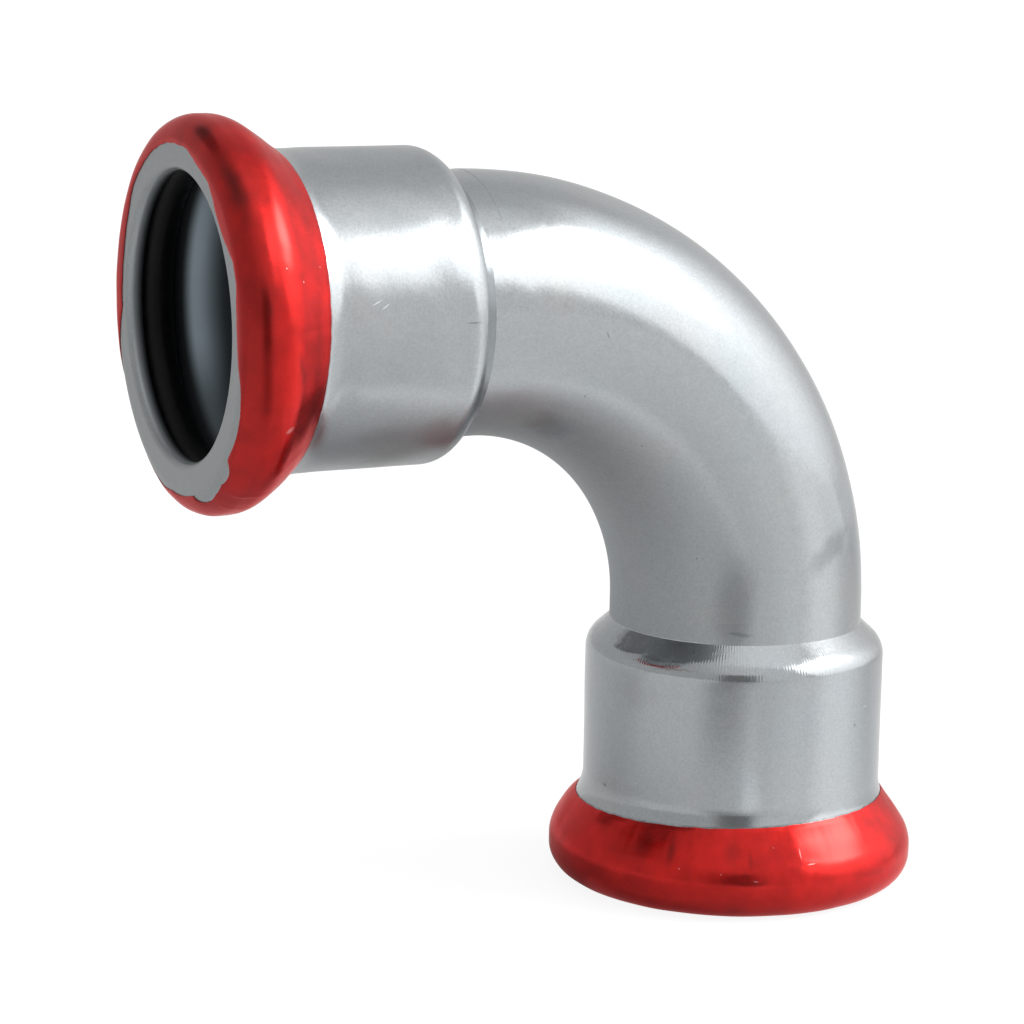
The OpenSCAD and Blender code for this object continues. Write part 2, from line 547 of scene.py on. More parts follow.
lowerFilmBand = makeFilm("lowerFilmBand", lowerFilm)
sideFilmBand = makeFilm("sideFilmBand", sideFilm)
toSide(sideFilmBand)
print("films done:", len(lowerFilmBand.data.polygons), len(sideFilmBand.data.polygons), "faces")


# node helpers

def setInputs(node, values):
    for key, value in values.items():
        if isinstance(value, bpy.types.NodeSocket):
            node.id_data.links.new(value, node.inputs[key])
        else:
            node.inputs[key].default_value = value


def addNode(tree, kind, values=None, **settings):
    node = tree.nodes.new(kind)
    for key, value in settings.items():
        setattr(node, key, value)
    setInputs(node, values or {})
    return node


def sums(tree, operation, *values):
    node = addNode(tree, "ShaderNodeMath", operation=operation)
    setInputs(node, dict(enumerate(values)))
    return node.outputs[0]


def chain(tree, operation, values):
    total = values[0]
    for value in values[1:]:
        total = sums(tree, operation, total, value)
    return total


def times(tree, *values):
    return chain(tree, "MULTIPLY", values)


def plus(tree, *values):
    return chain(tree, "ADD", values)


def most(tree, *values):
    return chain(tree, "MAXIMUM", values)


def minus(tree, first, second):
    return sums(tree, "SUBTRACT", first, second)


def ramp(tree, value, start, stop, low, high, smooth=True):
    kind = "SMOOTHSTEP" if smooth else "LINEAR"
    node = addNode(tree, "ShaderNodeMapRange", {0: value, 1: start, 2: stop, 3: low, 4: high},
                   interpolation_type=kind)
    return node.outputs[0]


def turnRamp(tree, angle, start, stop, low, high, smooth=True):
    # a ramp whose ends are in degrees
    return ramp(tree, angle, math.radians(start), math.radians(stop), low, high, smooth)


def blend(tree, share, first, second, mode="MIX", kind="RGBA"):
    node = addNode(tree, "ShaderNodeMix", data_type=kind, blend_type=mode)
    setInputs(node, {"Factor": share})
    for key, value in (("A", first), ("B", second)):
        slot = [s for s in node.inputs if s.name == key and s.type == kind][0]
        if isinstance(value, bpy.types.NodeSocket):
            tree.links.new(value, slot)
        else:
            slot.default_value = (*value, 1.0)
    return [s for s in node.outputs if s.type == kind][0]


def newMaterial(name):
    material = bpy.data.materials.new(name)
    material.use_nodes = True
    tree = material.node_tree
    return material, tree, tree.nodes["Principled BSDF"]


def newGroup(name, vectors, values, outputs):
    group = bpy.data.node_groups.new(name, "ShaderNodeTree")
    for label in vectors:
        group.interface.new_socket(name=label, in_out="INPUT", socket_type="NodeSocketVector")
    for label, start in values.items():
        made = group.interface.new_socket(name=label, in_out="INPUT", socket_type="NodeSocketFloat")
        made.default_value = start
    for label in outputs:
        group.interface.new_socket(name=label, in_out="OUTPUT", socket_type="NodeSocketFloat")
    given = group.nodes.new("NodeGroupInput").outputs
    return group, given, group.nodes.new("NodeGroupOutput").inputs


def placeGroup(tree, group, values):
    node = addNode(tree, "ShaderNodeGroup", node_tree=group)
    setInputs(node, values)
    return node.outputs


def millimetres(tree):
    coords = addNode(tree, "ShaderNodeTexCoord")
    scale = addNode(tree, "ShaderNodeVectorMath", {0: coords.outputs["Object"], 1: (1000, 1000, 1000)},
                    operation="MULTIPLY")
    return scale.outputs[0]


def apart(tree, vector):
    return addNode(tree, "ShaderNodeSeparateXYZ", {0: vector}).outputs


def bumpFrom(tree, height):
    bump = addNode(tree, "ShaderNodeBump", {"Height": height, "Strength": 1.0, "Distance": mm})
    return bump.outputs[0]


# shared effects

def makeGrain():
    # three sizes of unevenness, each about 0 to 1
    scales = {"Grain Scale": 6.0, "Cloud Scale": 0.8, "Blotch Scale": 0.12}
    group, given, result = newGroup("surfaceGrain", ["Vector"], scales, ["Grain", "Cloud", "Blotch"])
    usualLow, usualHigh = 0.28, 0.72
    for name, detail in (("Grain", 1.0), ("Cloud", 4.0), ("Blotch", 3.0)):
        texture = addNode(group, "ShaderNodeTexNoise", {
            "Vector": given["Vector"], "Scale": given[name + " Scale"],
            "Detail": detail, "Roughness": 0.55})
        spread = ramp(group, texture.outputs[0], usualLow, usualHigh, 0.0, 1.0, smooth=False)
        group.links.new(spread, result[name])
    return group


def makeStray():
    # scattered specks and short straight strokes
    values = {"Scale": 0.3, "Speck Size": 0.04, "Stroke Size": 0.02, "Share": 0.4}
    group, given, result = newGroup("strayMarks", ["Vector"], values, ["Specks", "Strokes"])
    leastSize, softFrom = 0.35, 0.4
    slanted = addNode(group, "ShaderNodeMapping", {
        "Vector": given["Vector"], "Rotation": (0.7, 0.4, 1.1), "Scale": (1.0, 1.0, 0.07)})
    for name, vector in (("Speck", given["Vector"]), ("Stroke", slanted.outputs[0])):
        cells = addNode(group, "ShaderNodeTexVoronoi", {"Vector": vector, "Scale": given["Scale"]})
        pick = addNode(group, "ShaderNodeSeparateColor", {0: cells.outputs["Color"]})
        size = times(group, given[name + " Size"], plus(group, leastSize, pick.outputs[1]))
        away = sums(group, "DIVIDE", cells.outputs["Distance"], size)
        near = ramp(group, away, softFrom, 1.0, 1.0, 0.0)
        chosen = sums(group, "LESS_THAN", pick.outputs[0], given["Share"])
        group.links.new(times(group, near, chosen), result[name + "s"])
    return group


def makeMark():
    # one placed mark: an ellipse with a soft edge, pushed out of shape by the drift
    vectors = ["Vector", "Drift", "Middle", "Turn", "Size"]
    group, given, result = newGroup("placedMark", vectors, {"Core": 0.2, "Wobble": 0.0}, ["Mask"])
    push = addNode(group, "ShaderNodeVectorMath", {0: given["Drift"], "Scale": given["Wobble"]},
                   operation="SCALE")
    moved = addNode(group, "ShaderNodeVectorMath", {0: given["Vector"], 1: push.outputs[0]},
                    operation="ADD")
    fitted = addNode(group, "ShaderNodeMapping", {
        "Vector": moved.outputs[0], "Location": given["Middle"], "Rotation": given["Turn"],
        "Scale": given["Size"]}, vector_type="TEXTURE")
    far = addNode(group, "ShaderNodeVectorMath", {0: fitted.outputs[0]}, operation="LENGTH")
    group.links.new(ramp(group, far.outputs["Value"], given["Core"], 1.0, 1.0, 0.0), result["Mask"])
    return group


surfaceGrain = makeGrain()
strayMarks = makeStray()
placedMark = makeMark()


def dress(piece, material, node):
    piece.data.materials.clear()
    piece.data.materials.append(material)
    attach(piece, "root")
    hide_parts(node)


regions = {"lower": 0, "side": 1, "bend": 2}
regionStep = 100.0
markDeep = 5.0


def lowerFrame(tree, x, z):
    return x, minus(tree, z, lowerMouthZ / mm)


def sideFrame(tree, x, z):
    return minus(tree, sideAxisZ / mm, z), minus(tree, x, sideMouthX / mm)


def unrolled(tree, x, y, along, reach, region):
    # a skin laid flat: mm round the tube, mm along it, and a step apart for each leg
    around = times(tree, sums(tree, "ARCTAN2", y, x), reach)
    flat = addNode(tree, "ShaderNodeCombineXYZ", {0: around, 1: along, 2: region * regionStep})
    return flat.outputs[0]


def driftOf(tree, place):
    stir = addNode(tree, "ShaderNodeTexNoise", {"Vector": place, "Scale": 0.9, "Detail": 3.0})
    drift = addNode(tree, "ShaderNodeVectorMath", {0: stir.outputs["Color"], 1: (0.5, 0.5, 0.5)},
                    operation="SUBTRACT")
    return drift.outputs[0]


def rootOfSquares(tree, a, b):
    return sums(tree, "SQRT", plus(tree, times(tree, a, a), times(tree, b, b)))


def toward(tree, value, target, share):
    return plus(tree, value, times(tree, minus(tree, target, value), share))


def addMark(tree, masks, kind, strength, values):
    mark = placeGroup(tree, placedMark, values)
    masks[kind] = most(tree, masks[kind], times(tree, mark["Mask"], strength))


# zinc-plated steel

zincLook = {
    "cool": (0.355, 0.381, 0.4),
    "warm": (0.372, 0.384, 0.388),
    "mouth": (0.3, 0.314, 0.318),
    # lip: painted highlight on the mouth's inner rim
    "lip": (0.5, 0.53, 0.55),
    "bore": (0.37, 0.44, 0.49),
    # painted shade for the seal chamber and the lip's inside
    "chamber": (0.03, 0.035, 0.038),
    "tubeBore": (0.3, 0.35, 0.39),
    # soot and stain colour real marks, and also painted shade and painted dark reflections
    "sootAndShade": (0.1, 0.105, 0.11),
    "stainAndShade": (0.2, 0.165, 0.145),
    "bare": (0.8, 0.82, 0.83),
    "satin": 0.2,
    "burnished": 0.1,
    "dull": 0.58,
    "boreRough": 0.6,
    "mouthRough": 0.42,
    "soiledRough": 0.3,
    "mouthFrom": 11.3,
    # painted shadow along the films' edges
    "edgeShadowUnder": -0.3,
    "speckShare": 0.45,
    "strokeShare": 0.12,
    "sandGrain": 1.4,
    "sandCloud": 0.6,
    "ringStretch": (0.05, 9.0, 0.3),
    "chatterWaves": 24.0,
    "grainHigh": 0.0007,
    "cloudHigh": 0.004,
    "grooveHigh": 0.0014,
}
pastSocket = 40.0
# where each effect starts and stops, and its value at both: depth is mm in from the mouth,
# inner is mm from the leg's axis towards the inside of the bend
zincZones = {
    "beadDepth": (3.0, footS, 2.5, 0.0),
    "skinDepth": (socket["depth"], cornerS, socket["splitSocket"], socket["splitTube"]),
    "mouthDepth": (0.25, 0.6, 1.0, 0.0),
    "bandDepth": (19.2, 19.9, 0.0, 1.0),
    "bandEnd": (cornerS, cornerS + 0.1, 1.0, 0.0),
    "dullInner": (2.8, 9.5, 0.0, 1.0),
    "dullDepth": (19.0, 23.0, 0.42, 1.0),
    # the next two: painted shadow along the films' edges
    "edgeShadowPast": (0.0, 0.22, 1.0, 0.0),
    "edgeShadowPatchy": (0.1, 0.8, 0.15, 0.75),
    "tone": (0.0, 2.0, 0.91, 1.07),
    "tubeDepth": (socket["depth"], cornerS, 0.0, 1.0),
    # the next three: painted shade in the bore
    "boreShadeFront": (6.3, 8.9, 1.0, 0.3),
    "boreShadeBack": (9.5, 15.0, 0.0, 0.4),
    "boreUnderShadeInner": (3.0, 9.0, 1.0, 0.4),
    # painted shade in the seal chamber
    "chamberDepth": (5.1, 6.0, 1.0, 0.0),
    # painted highlight on the lip
    "lipHighlightDepth": (0.45, 1.25, 1.0, 0.0),
    "rough": (0.2, 1.8, 0.1, 0.18),
    "satinDepth": (19.0, 22.0, 0.8, 0.0),
    "satinInner": (-3.0, 4.0, 1.0, 0.0),
    "chatterPatchy": (0.3, 0.8, 0.0, 0.003),
}
# marks: kind, region, turn in degrees, mm along, half width round, half length along,
# tilt in degrees, strength, wobble
zincMarks = (
    ("stainAndShade", "lower", -66.6, 15.0, 0.14, 0.2, 10, 0.9, 0.1),
    ("sootAndShade", "lower", -176.1, 8.95, 0.35, 0.18, 0, 0.6, 0.5),
    ("bare", "lower", -59.5, 16.3, 0.5, 0.04, 8, 0.9, 0.0),
    ("stainAndShade", "lower", -143.0, 20.3, 2.6, 0.16, 3, 0.5, 0.6),
    ("sootAndShade", "lower", -137.1, 21.7, 0.18, 0.14, 0, 0.8, 0.2),
    ("stainAndShade", "lower", -158.0, 17.6, 3.0, 1.6, 0, 0.1, 3.0),
    ("bare", "side", -99.8, 11.4, 0.05, 0.62, 24, 0.8, 0.0),
    ("bare", "side", -98.4, 12.1, 0.05, 0.6, 34, 0.8, 0.0),
    ("sootAndShade", "side", -91.3, 19.4, 0.09, 0.9, 0, 0.6, 0.1),
    ("stainAndShade", "side", -30.0, 15.5, 4.0, 4.0, 0, 0.15, 3.0),
    ("bare", "bend", -70.5, 34.0, 0.05, 2.3, 3, 0.75, 0.1),
    ("stainAndShade", "bend", -120.6, 32.9, 0.16, 0.12, 0, 0.9, 0.1),
    ("sootAndShade", "bend", -128.6, 23.5, 0.12, 0.1, 0, 0.7, 0.1),
    ("sootAndShade", "bend", -134.0, 7.7, 0.14, 0.08, 0, 0.8, 0.1),
    # painted dark reflection of the lower ring under the bend
    ("stainAndShade", "bend", -140.0, 35.5, 2.2, 3.0, 20, 0.3, 2.0),
    ("sootAndShade", "bend", -91.8, 33.4, 0.06, 0.45, -40, 0.6, 0.1),
    # painted dark reflection where the bend's bright band ends
    ("sootAndShade", "bend", -70.5, 5.0, 4.0, 1.35, 20, 0.36, 1.6),
    # the next three marks: painted dark reflection of the stand, a streak down the front of the bend's
    # foot and the tube below it
    ("sootAndShade", "bend", -119.8, 2.4, 2.4, 6.2, -12, 0.26, 0.8),
    ("sootAndShade", "lower", -122.0, 24.0, 2.3, 2.0, 0, 0.3, 0.6),
    ("sootAndShade", "lower", -118.5, 23.2, 2.0, 0.3, -3, 0.5, 0.5),
    # painted dark reflection of the lower ring under the bend
    ("sootAndShade", "bend", -143.5, 33.4, 2.4, 3.8, 0, 0.26, 1.2),
    ("bare", "bend", 95.0, 22.0, 0.05, 1.6, 12, 0.7, 0.1),
    ("stainAndShade", "lower", 88.0, 12.0, 1.6, 0.9, 0, 0.25, 2.5),
    ("bare", "side", 70.0, 14.0, 0.6, 0.05, 30, 0.7, 0.1),
    ("sootAndShade", "bend", 40.0, 20.0, 0.5, 0.3, 0, 0.4, 1.0),
)


def makeZinc():
    material, tree, shader = newMaterial("zincPlate")

    def zone(name, value, smooth=True):
        return ramp(tree, value, *zincZones[name], smooth)

    place = millimetres(tree)
    x, y, z = apart(tree, place)
    lowerX, lowerAlong = lowerFrame(tree, x, z)
    sideX, sideAlong = sideFrame(tree, x, z)
    outX = minus(tree, x, bendX)
    outZ = minus(tree, z, bendZ)
    bendRound = minus(tree, rootOfSquares(tree, outX, outZ), socket["bendRadius"])
    bendAlong = times(tree, sums(tree, "ARCTAN2", outZ, outX), socket["bendRadius"])
    onSide = sums(tree, "LESS_THAN", x, bendX)
    onLow = sums(tree, "LESS_THAN", z, bendZ)
    flatLower = unrolled(tree, lowerX, y, lowerAlong, socket["socketRadius"], regions["lower"])
    flatSide = unrolled(tree, sideX, y, sideAlong, socket["socketRadius"], regions["side"])
    flatBend = unrolled(tree, bendRound, y, bendAlong, socket["tubeRadius"], regions["bend"])
    flat = blend(tree, onLow, flatBend, flatLower, kind="VECTOR")
    flat = blend(tree, onSide, flat, flatSide, kind="VECTOR")
    flatAxes = apart(tree, flat)

    # how far out from the leg's own axis, and how far in from its mouth
    cross = toward(tree, bendRound, lowerX, onLow)
    cross = toward(tree, cross, sideX, onSide)
    radius = rootOfSquares(tree, cross, y)
    inSocket = most(tree, onLow, onSide)
    depth = toward(tree, pastSocket, flatAxes[1], inSocket)
    skin = plus(tree, zone("beadDepth", depth, False), zone("skinDepth", depth, False))
    inside = sums(tree, "LESS_THAN", radius, skin)
    outside = minus(tree, 1.0, inside)
    mouth = times(tree, zone("mouthDepth", depth),
                  sums(tree, "GREATER_THAN", radius, zincLook["mouthFrom"]))
    band = times(tree, zone("bandDepth", depth), zone("bandEnd", depth), outside, onLow)

    # the inside of the bend and the side leg's underside are duller
    inner = toward(tree, times(tree, cross, -1.0), cross, onSide)
    onFoot = times(tree, onLow, sums(tree, "LESS_THAN", depth, cornerS))
    dull = toward(tree, zone("dullInner", inner), 0.0, onFoot)
    dull = times(tree, dull, zone("dullDepth", depth))

    # painted shadow: a dark line on the zinc just beyond each film's edge, held in the dust mask
    dust = 0.0
    legs = ((onLow, lowerX, lowerAlong, lowerFilm), (onSide, sideX, sideAlong, sideFilm))
    for here, turnX, along, look in legs:
        turn = minus(tree, sums(tree, "ARCTAN2", y, turnX), math.radians(look["slantTurn"]))
        edge = times(tree, sums(tree, "COSINE", turn), look["slant"])
        past = minus(tree, along, plus(tree, edge, look["reach"]))
        near = times(tree, zone("edgeShadowPast", past),
                     sums(tree, "GREATER_THAN", past, zincLook["edgeShadowUnder"]))
        dust = most(tree, dust, times(tree, near, here))

    grain = placeGroup(tree, surfaceGrain, {
        "Vector": place, "Grain Scale": 5.0, "Cloud Scale": 1.1, "Blotch Scale": 0.13})
    stray = placeGroup(tree, strayMarks, {
        "Vector": place, "Scale": 0.35, "Speck Size": 0.035, "Stroke Size": 0.02, "Share": 0.16})
    drift = driftOf(tree, place)
    masks = {"sootAndShade": 0.0, "stainAndShade": 0.0, "bare": 0.0}
    for kind, region, turn, along, halfRound, halfAlong, tilt, strength, wobble in zincMarks:
        reach = socket["tubeRadius"] if region == "bend" else socket["socketRadius"]
        middle = (math.radians(turn) * reach, along, regions[region] * regionStep)
        addMark(tree, masks, kind, strength, {
            "Vector": flat, "Drift": drift, "Middle": middle, "Turn": (0, 0, math.radians(tilt)),
            "Size": (halfRound, halfAlong, markDeep), "Wobble": wobble})
    specks = times(tree, stray["Specks"], zincLook["speckShare"])
    strokes = times(tree, stray["Strokes"], zincLook["strokeShare"])
    # the painted edge shadow is broken up by the cloud noise
    dust = times(tree, dust, zone("edgeShadowPatchy", grain["Cloud"]))
    # the soot mask holds real soot marks and specks, and also painted shade: the film-edge shadow and
    # painted dark reflections among the marks
    sootAndShade = times(tree, most(tree, masks["sootAndShade"], specks, dust), outside)
    stainAndShade = times(tree, masks["stainAndShade"], outside)
    bare = times(tree, most(tree, masks["bare"], strokes), outside)

    colour = blend(tree, grain["Blotch"], zincLook["cool"], zincLook["warm"])
    sand = plus(tree, times(tree, grain["Grain"], zincLook["sandGrain"]),
                times(tree, grain["Cloud"], zincLook["sandCloud"]))
    tone = zone("tone", sand, False)
    colour = blend(tree, 1.0, colour, tone, "MULTIPLY")
    inTube = zone("tubeDepth", depth)
    boreColour = blend(tree, inTube, zincLook["bore"], zincLook["tubeBore"])
    # painted shade in the bore: darker from about 6 mm in, lighter again past about 10 mm, and darker
    # towards the lower side of the side leg's bore
    boreUnderShade = toward(tree, 1.0, zone("boreUnderShadeInner", inner), onSide)
    shade = times(tree, plus(tree, zone("boreShadeFront", depth), zone("boreShadeBack", depth)), boreUnderShade)
    boreColour = blend(tree, 1.0, boreColour, toward(tree, shade, 1.0, inTube), "MULTIPLY")
    # painted shade: the seal chamber and the lip's inside are near black up to about 5 mm in
    boreColour = blend(tree, zone("chamberDepth", depth), boreColour, zincLook["chamber"])
    # painted highlight: a light rim on the lip at the mouth
    boreColour = blend(tree, zone("lipHighlightDepth", depth), boreColour, zincLook["lip"])
    colour = blend(tree, inside, colour, boreColour)
    mouthColour = blend(tree, 1.0, zincLook["mouth"], tone, "MULTIPLY")
    colour = blend(tree, mouth, colour, mouthColour)
    for name, mask in (("sootAndShade", sootAndShade), ("stainAndShade", stainAndShade), ("bare", bare)):
        colour = blend(tree, mask, colour, zincLook[name])

    rough = zone("rough", plus(tree, grain["Cloud"], grain["Blotch"]), False)
    satin = times(tree, zone("satinDepth", depth), zone("satinInner", inner), onSide)
    finishes = (("satin", satin), ("dull", dull), ("burnished", band), ("boreRough", inside),
                ("mouthRough", mouth))
    for name, mask in finishes:
        rough = toward(tree, rough, zincLook[name], mask)
    rough = plus(tree, rough, times(tree, most(tree, sootAndShade, stainAndShade), zincLook["soiledRough"]))

    # turned rings on the sockets, chatter on the rolled shoulder
    thin = addNode(tree, "ShaderNodeMapping", {"Vector": flat, "Scale": zincLook["ringStretch"]})
    rings = addNode(tree, "ShaderNodeTexNoise", {"Vector": thin.outputs[0], "Scale": 1.0, "Detail": 2.0})
    chatter = sums(tree, "SINE", times(tree, flatAxes[0], zincLook["chatterWaves"]))
    chatter = times(tree, chatter, zone("chatterPatchy", grain["Cloud"]), band)
    ringHigh = times(tree, inSocket, zincLook["grooveHigh"])
    height = plus(tree, times(tree, grain["Grain"], zincLook["grainHigh"]),
                  times(tree, grain["Cloud"], zincLook["cloudHigh"]),
                  times(tree, rings.outputs[0], ringHigh), chatter)
    setInputs(shader, {"Base Color": colour, "Metallic": 1.0, "Roughness": rough,
                       "Normal": bumpFrom(tree, height)})
    return material


# moulded black rubber

rubberLook = {
    "black": (0.002, 0.002, 0.0022),
    "grey": (0.005, 0.005, 0.005),
    "dust": (0.1, 0.1, 0.095),
    "dustShare": 0.2,
    "rough": (0.42, 0.58),
    "grainHigh": 0.002,
    "shine": 0.14,
}


def makeRubber():
    material, tree, shader = newMaterial("blackRubber")
    place = millimetres(tree)
    grain = placeGroup(tree, surfaceGrain, {
        "Vector": place, "Grain Scale": 9.0, "Cloud Scale": 1.1, "Blotch Scale": 0.3})
    stray = placeGroup(tree, strayMarks, {
        "Vector": place, "Scale": 0.5, "Speck Size": 0.05, "Stroke Size": 0.02, "Share": 0.25})
    colour = blend(tree, grain["Cloud"], rubberLook["black"], rubberLook["grey"])
    dust = times(tree, most(tree, stray["Specks"], stray["Strokes"]), rubberLook["dustShare"])
    colour = blend(tree, dust, colour, rubberLook["dust"])
    rough = ramp(tree, grain["Cloud"], 0.0, 1.0, *rubberLook["rough"], smooth=False)
    height = times(tree, grain["Grain"], rubberLook["grainHigh"])
    setInputs(shader, {"Base Color": colour, "Roughness": rough, "Normal": bumpFrom(tree, height),
                       "Specular IOR Level": rubberLook["shine"]})
    return material


# red metallised foil

foilLook = {
    "deep": (0.34, 0.0024, 0.0014),
    "bright": (0.62, 0.009, 0.0055),
    # painted dark reflections on the foil
    "darkReflection": (0.1, 0.0009, 0.0006),
    "silver": (0.85, 0.62, 0.6),
    "tint": (1.0, 0.14, 0.1, 1.0),
    "rough": (0.18, 0.3),
    "coat": 0.42,
    "coatRough": 0.22,
    # hem: painted shade, darker towards the mouth
    "hem": (0.4, 3.6, 0.66, 1.0),
    "cloudShare": 0.6,
    "blotchShare": 0.4,
    "speckShare": 0.35,
    "strokeShare": 0.12,
    "grainHigh": 0.0015,
    "cloudHigh": 0.012,
}
# each kind's core and wobble
foilEdges = {"silver": (0.2, 0.25), "darkReflection": (0.0, 0.5)}
# marks: kind, turn in degrees, depth, half width round, half length along, tilt, strength
lowerFoilMarks = (
    ("silver", -96.1, 5.4, 0.07, 0.5, 0, 0.3),
    ("silver", -93.0, 4.55, 0.55, 0.06, 0, 0.3),
    ("silver", -111.5, 3.5, 0.3, 0.06, 0, 0.4),
    ("silver", -135.3, 4.2, 0.07, 0.07, 0, 0.6),
    ("silver", -122.1, 4.0, 0.07, 0.06, 0, 0.6),
    ("silver", -105.0, 5.9, 0.05, 0.05, 0, 0.6),
    ("darkReflection", -149.0, 5.6, 1.6, 1.5, 0, 0.6),
    ("darkReflection", -139.0, 5.4, 0.6, 1.8, 6, 0.55),
    ("darkReflection", -119.0, 5.6, 1.1, 1.5, 0, 0.4),
    ("darkReflection", -113.0, 5.0, 0.3, 1.0, -6, 0.35),
    ("darkReflection", -112.0, 3.3, 2.2, 0.3, 0, 0.35),
    ("darkReflection", -70.0, 2.9, 3.0, 0.5, -6, 0.3),
    ("darkReflection", 40.0, 5.2, 1.4, 0.8, 10, 0.4),
    ("darkReflection", 118.0, 4.6, 0.6, 1.2, -8, 0.4),
)
sideFoilMarks = (
    ("silver", -63.3, 3.9, 0.3, 0.5, 30, 0.3),
    ("silver", -35.0, 2.2, 0.06, 1.6, 0, 0.5),
    ("silver", -26.0, 2.0, 0.05, 1.4, 8, 0.4),
    ("silver", -41.9, 6.4, 0.9, 0.5, 0, 0.25),
    ("silver", -110.0, 3.2, 0.07, 0.07, 0, 0.6),
    ("silver", 88.0, 0.5, 0.1, 0.6, 0, 0.45),
    ("silver", 84.0, 0.5, 0.07, 0.6, 0, 0.4),
    ("darkReflection", -165.0, 0.8, 2.4, 0.7, 0, 0.75),
    ("darkReflection", -138.0, 0.8, 5.0, 0.8, 3, 0.8),
    ("darkReflection", -99.0, 1.6, 1.0, 0.4, 0, 0.4),
    ("darkReflection", -88.0, 0.4, 5.0, 0.8, 0, 0.2),
    ("darkReflection", -82.0, 4.3, 2.0, 0.45, 10, 0.5),
    ("darkReflection", 62.0, 4.6, 1.2, 0.7, 0, 0.4),
    ("darkReflection", 140.0, 3.8, 0.7, 1.2, 10, 0.4),
)


def makeFoil(name, legFrame, marks):
    material, tree, shader = newMaterial(name)
    place = millimetres(tree)
    x, y, z = apart(tree, place)
    legX, along = legFrame(tree, x, z)
    flat = unrolled(tree, legX, y, along, beadRadius, 0)
    grain = placeGroup(tree, surfaceGrain, {
        "Vector": place, "Grain Scale": 5.0, "Cloud Scale": 0.45, "Blotch Scale": 0.16})
    stray = placeGroup(tree, strayMarks, {
        "Vector": place, "Scale": 0.5, "Speck Size": 0.05, "Stroke Size": 0.025, "Share": 0.16})
    drift = driftOf(tree, place)
    silver = most(tree, times(tree, stray["Specks"], foilLook["speckShare"]),
                  times(tree, stray["Strokes"], foilLook["strokeShare"]))
    masks = {"silver": silver, "darkReflection": 0.0}
    for kind, turn, depth, halfRound, halfAlong, tilt, strength in marks:
        core, wobble = foilEdges[kind]
        addMark(tree, masks, kind, strength, {
            "Vector": flat, "Drift": drift, "Middle": (math.radians(turn) * beadRadius, depth, 0.0),
            "Turn": (0, 0, math.radians(tilt)), "Size": (halfRound, halfAlong, markDeep),
            "Core": core, "Wobble": wobble})
    shade = plus(tree, times(tree, grain["Cloud"], foilLook["cloudShare"]),
                 times(tree, grain["Blotch"], foilLook["blotchShare"]))
    colour = blend(tree, shade, foilLook["deep"], foilLook["bright"])
    # painted shade: the foil's colour is darker towards the mouth
    colour = blend(tree, 1.0, colour, ramp(tree, along, *foilLook["hem"]), "MULTIPLY")
    # the dark marks are painted dark reflections
    for kind in ("darkReflection", "silver"):
        colour = blend(tree, masks[kind], colour, foilLook[kind])
    rough = ramp(tree, grain["Cloud"], 0.0, 1.0, *foilLook["rough"], smooth=False)
    height = plus(tree, times(tree, grain["Grain"], foilLook["grainHigh"]),
                  times(tree, grain["Cloud"], foilLook["cloudHigh"]))
    setInputs(shader, {
        "Base Color": colour, "Metallic": 1.0, "Roughness": rough, "Normal": bumpFrom(tree, height),
        "Specular Tint": foilLook["tint"], "Coat Weight": foilLook["coat"],
        "Coat Roughness": foilLook["coatRough"]})
    return material


zinc = makeZinc()
rubber = makeRubber()
dress(elbowShell, zinc, "elbow_body")
dress(lowerSealRing, rubber, "lower_seal")
dress(sideSealRing, rubber, "side_seal")
lowerFoil = makeFoil("redFoilLower", lowerFrame, lowerFoilMarks)
sideFoil = makeFoil("redFoilSide", sideFrame, sideFoilMarks)
dress(lowerFilmBand, lowerFoil, "lower_indicator_film")
dress(sideFilmBand, sideFoil, "side_indicator_film")
print("materials done")


# floor, light and camera

view = {
    "place": (-136.215, -232.751, 65.861),
    "aim": (-21.45, 0.0, 13.514),
    "roll": 0.86,
    "lens": 113.11,
    "sensor": 36.0,
    "clipStart": 0.01,
}
# ranges are start, stop and the value at both, in mm, or in degrees from the front towards the right
paper = {
    "size": 8.0,
    "white": (0.9, 0.9, 0.9, 1),
    "seen": 1.05,
    "seenShare": 0.85,
    "mirrorShare": 0.6,
    "mirrorLevel": (0.0, 1.0, 0.74, 1.7),
    "middle": 20.0,
    "litFirst": (2, 36, 0.0, 0.43),
    "litMore": (37, 53, 0.0, 0.57),
    "litEnd": (60, 92, 1.0, 0.0),
    "litFar": (230.0, 480.0, 0.0, 0.8),
    "litLast": (95, 130, 1.0, 0.0),
    "back": (0.0, 50.0, 1.0, 0.65),
    "under": (0.0, 45.0, 0.3, 1.0),
    "stripLean": 0.3,
    "stripSide": (2.0, 7.5, 1.0, 0.0),
    "stripAlong": ((-34.0, -20.0, 1.0, 0.0), (-58.0, -44.0, 0.3, 1.0), (-88.0, -70.0, 0.0, 1.0)),
    "stripLevel": (0.0, 1.0, 1.0, 1.65),
    "standTurn": 24,
    "standSide": (2, 27, 1.0, 0.0),
    "standFar": (26.0, 85.0, 0.0, 1.0),
}
stand = {
    "width": 190.0,
    "height": 170.0,
    "aside": 22.0,
    "behind": 1.05,
    "darkReflection": 0.3,
    "softSides": (0.35, 1.0, 1.0, 0.0),
    "softTop": (0.3, 1.0, 1.0, 0.0),
}
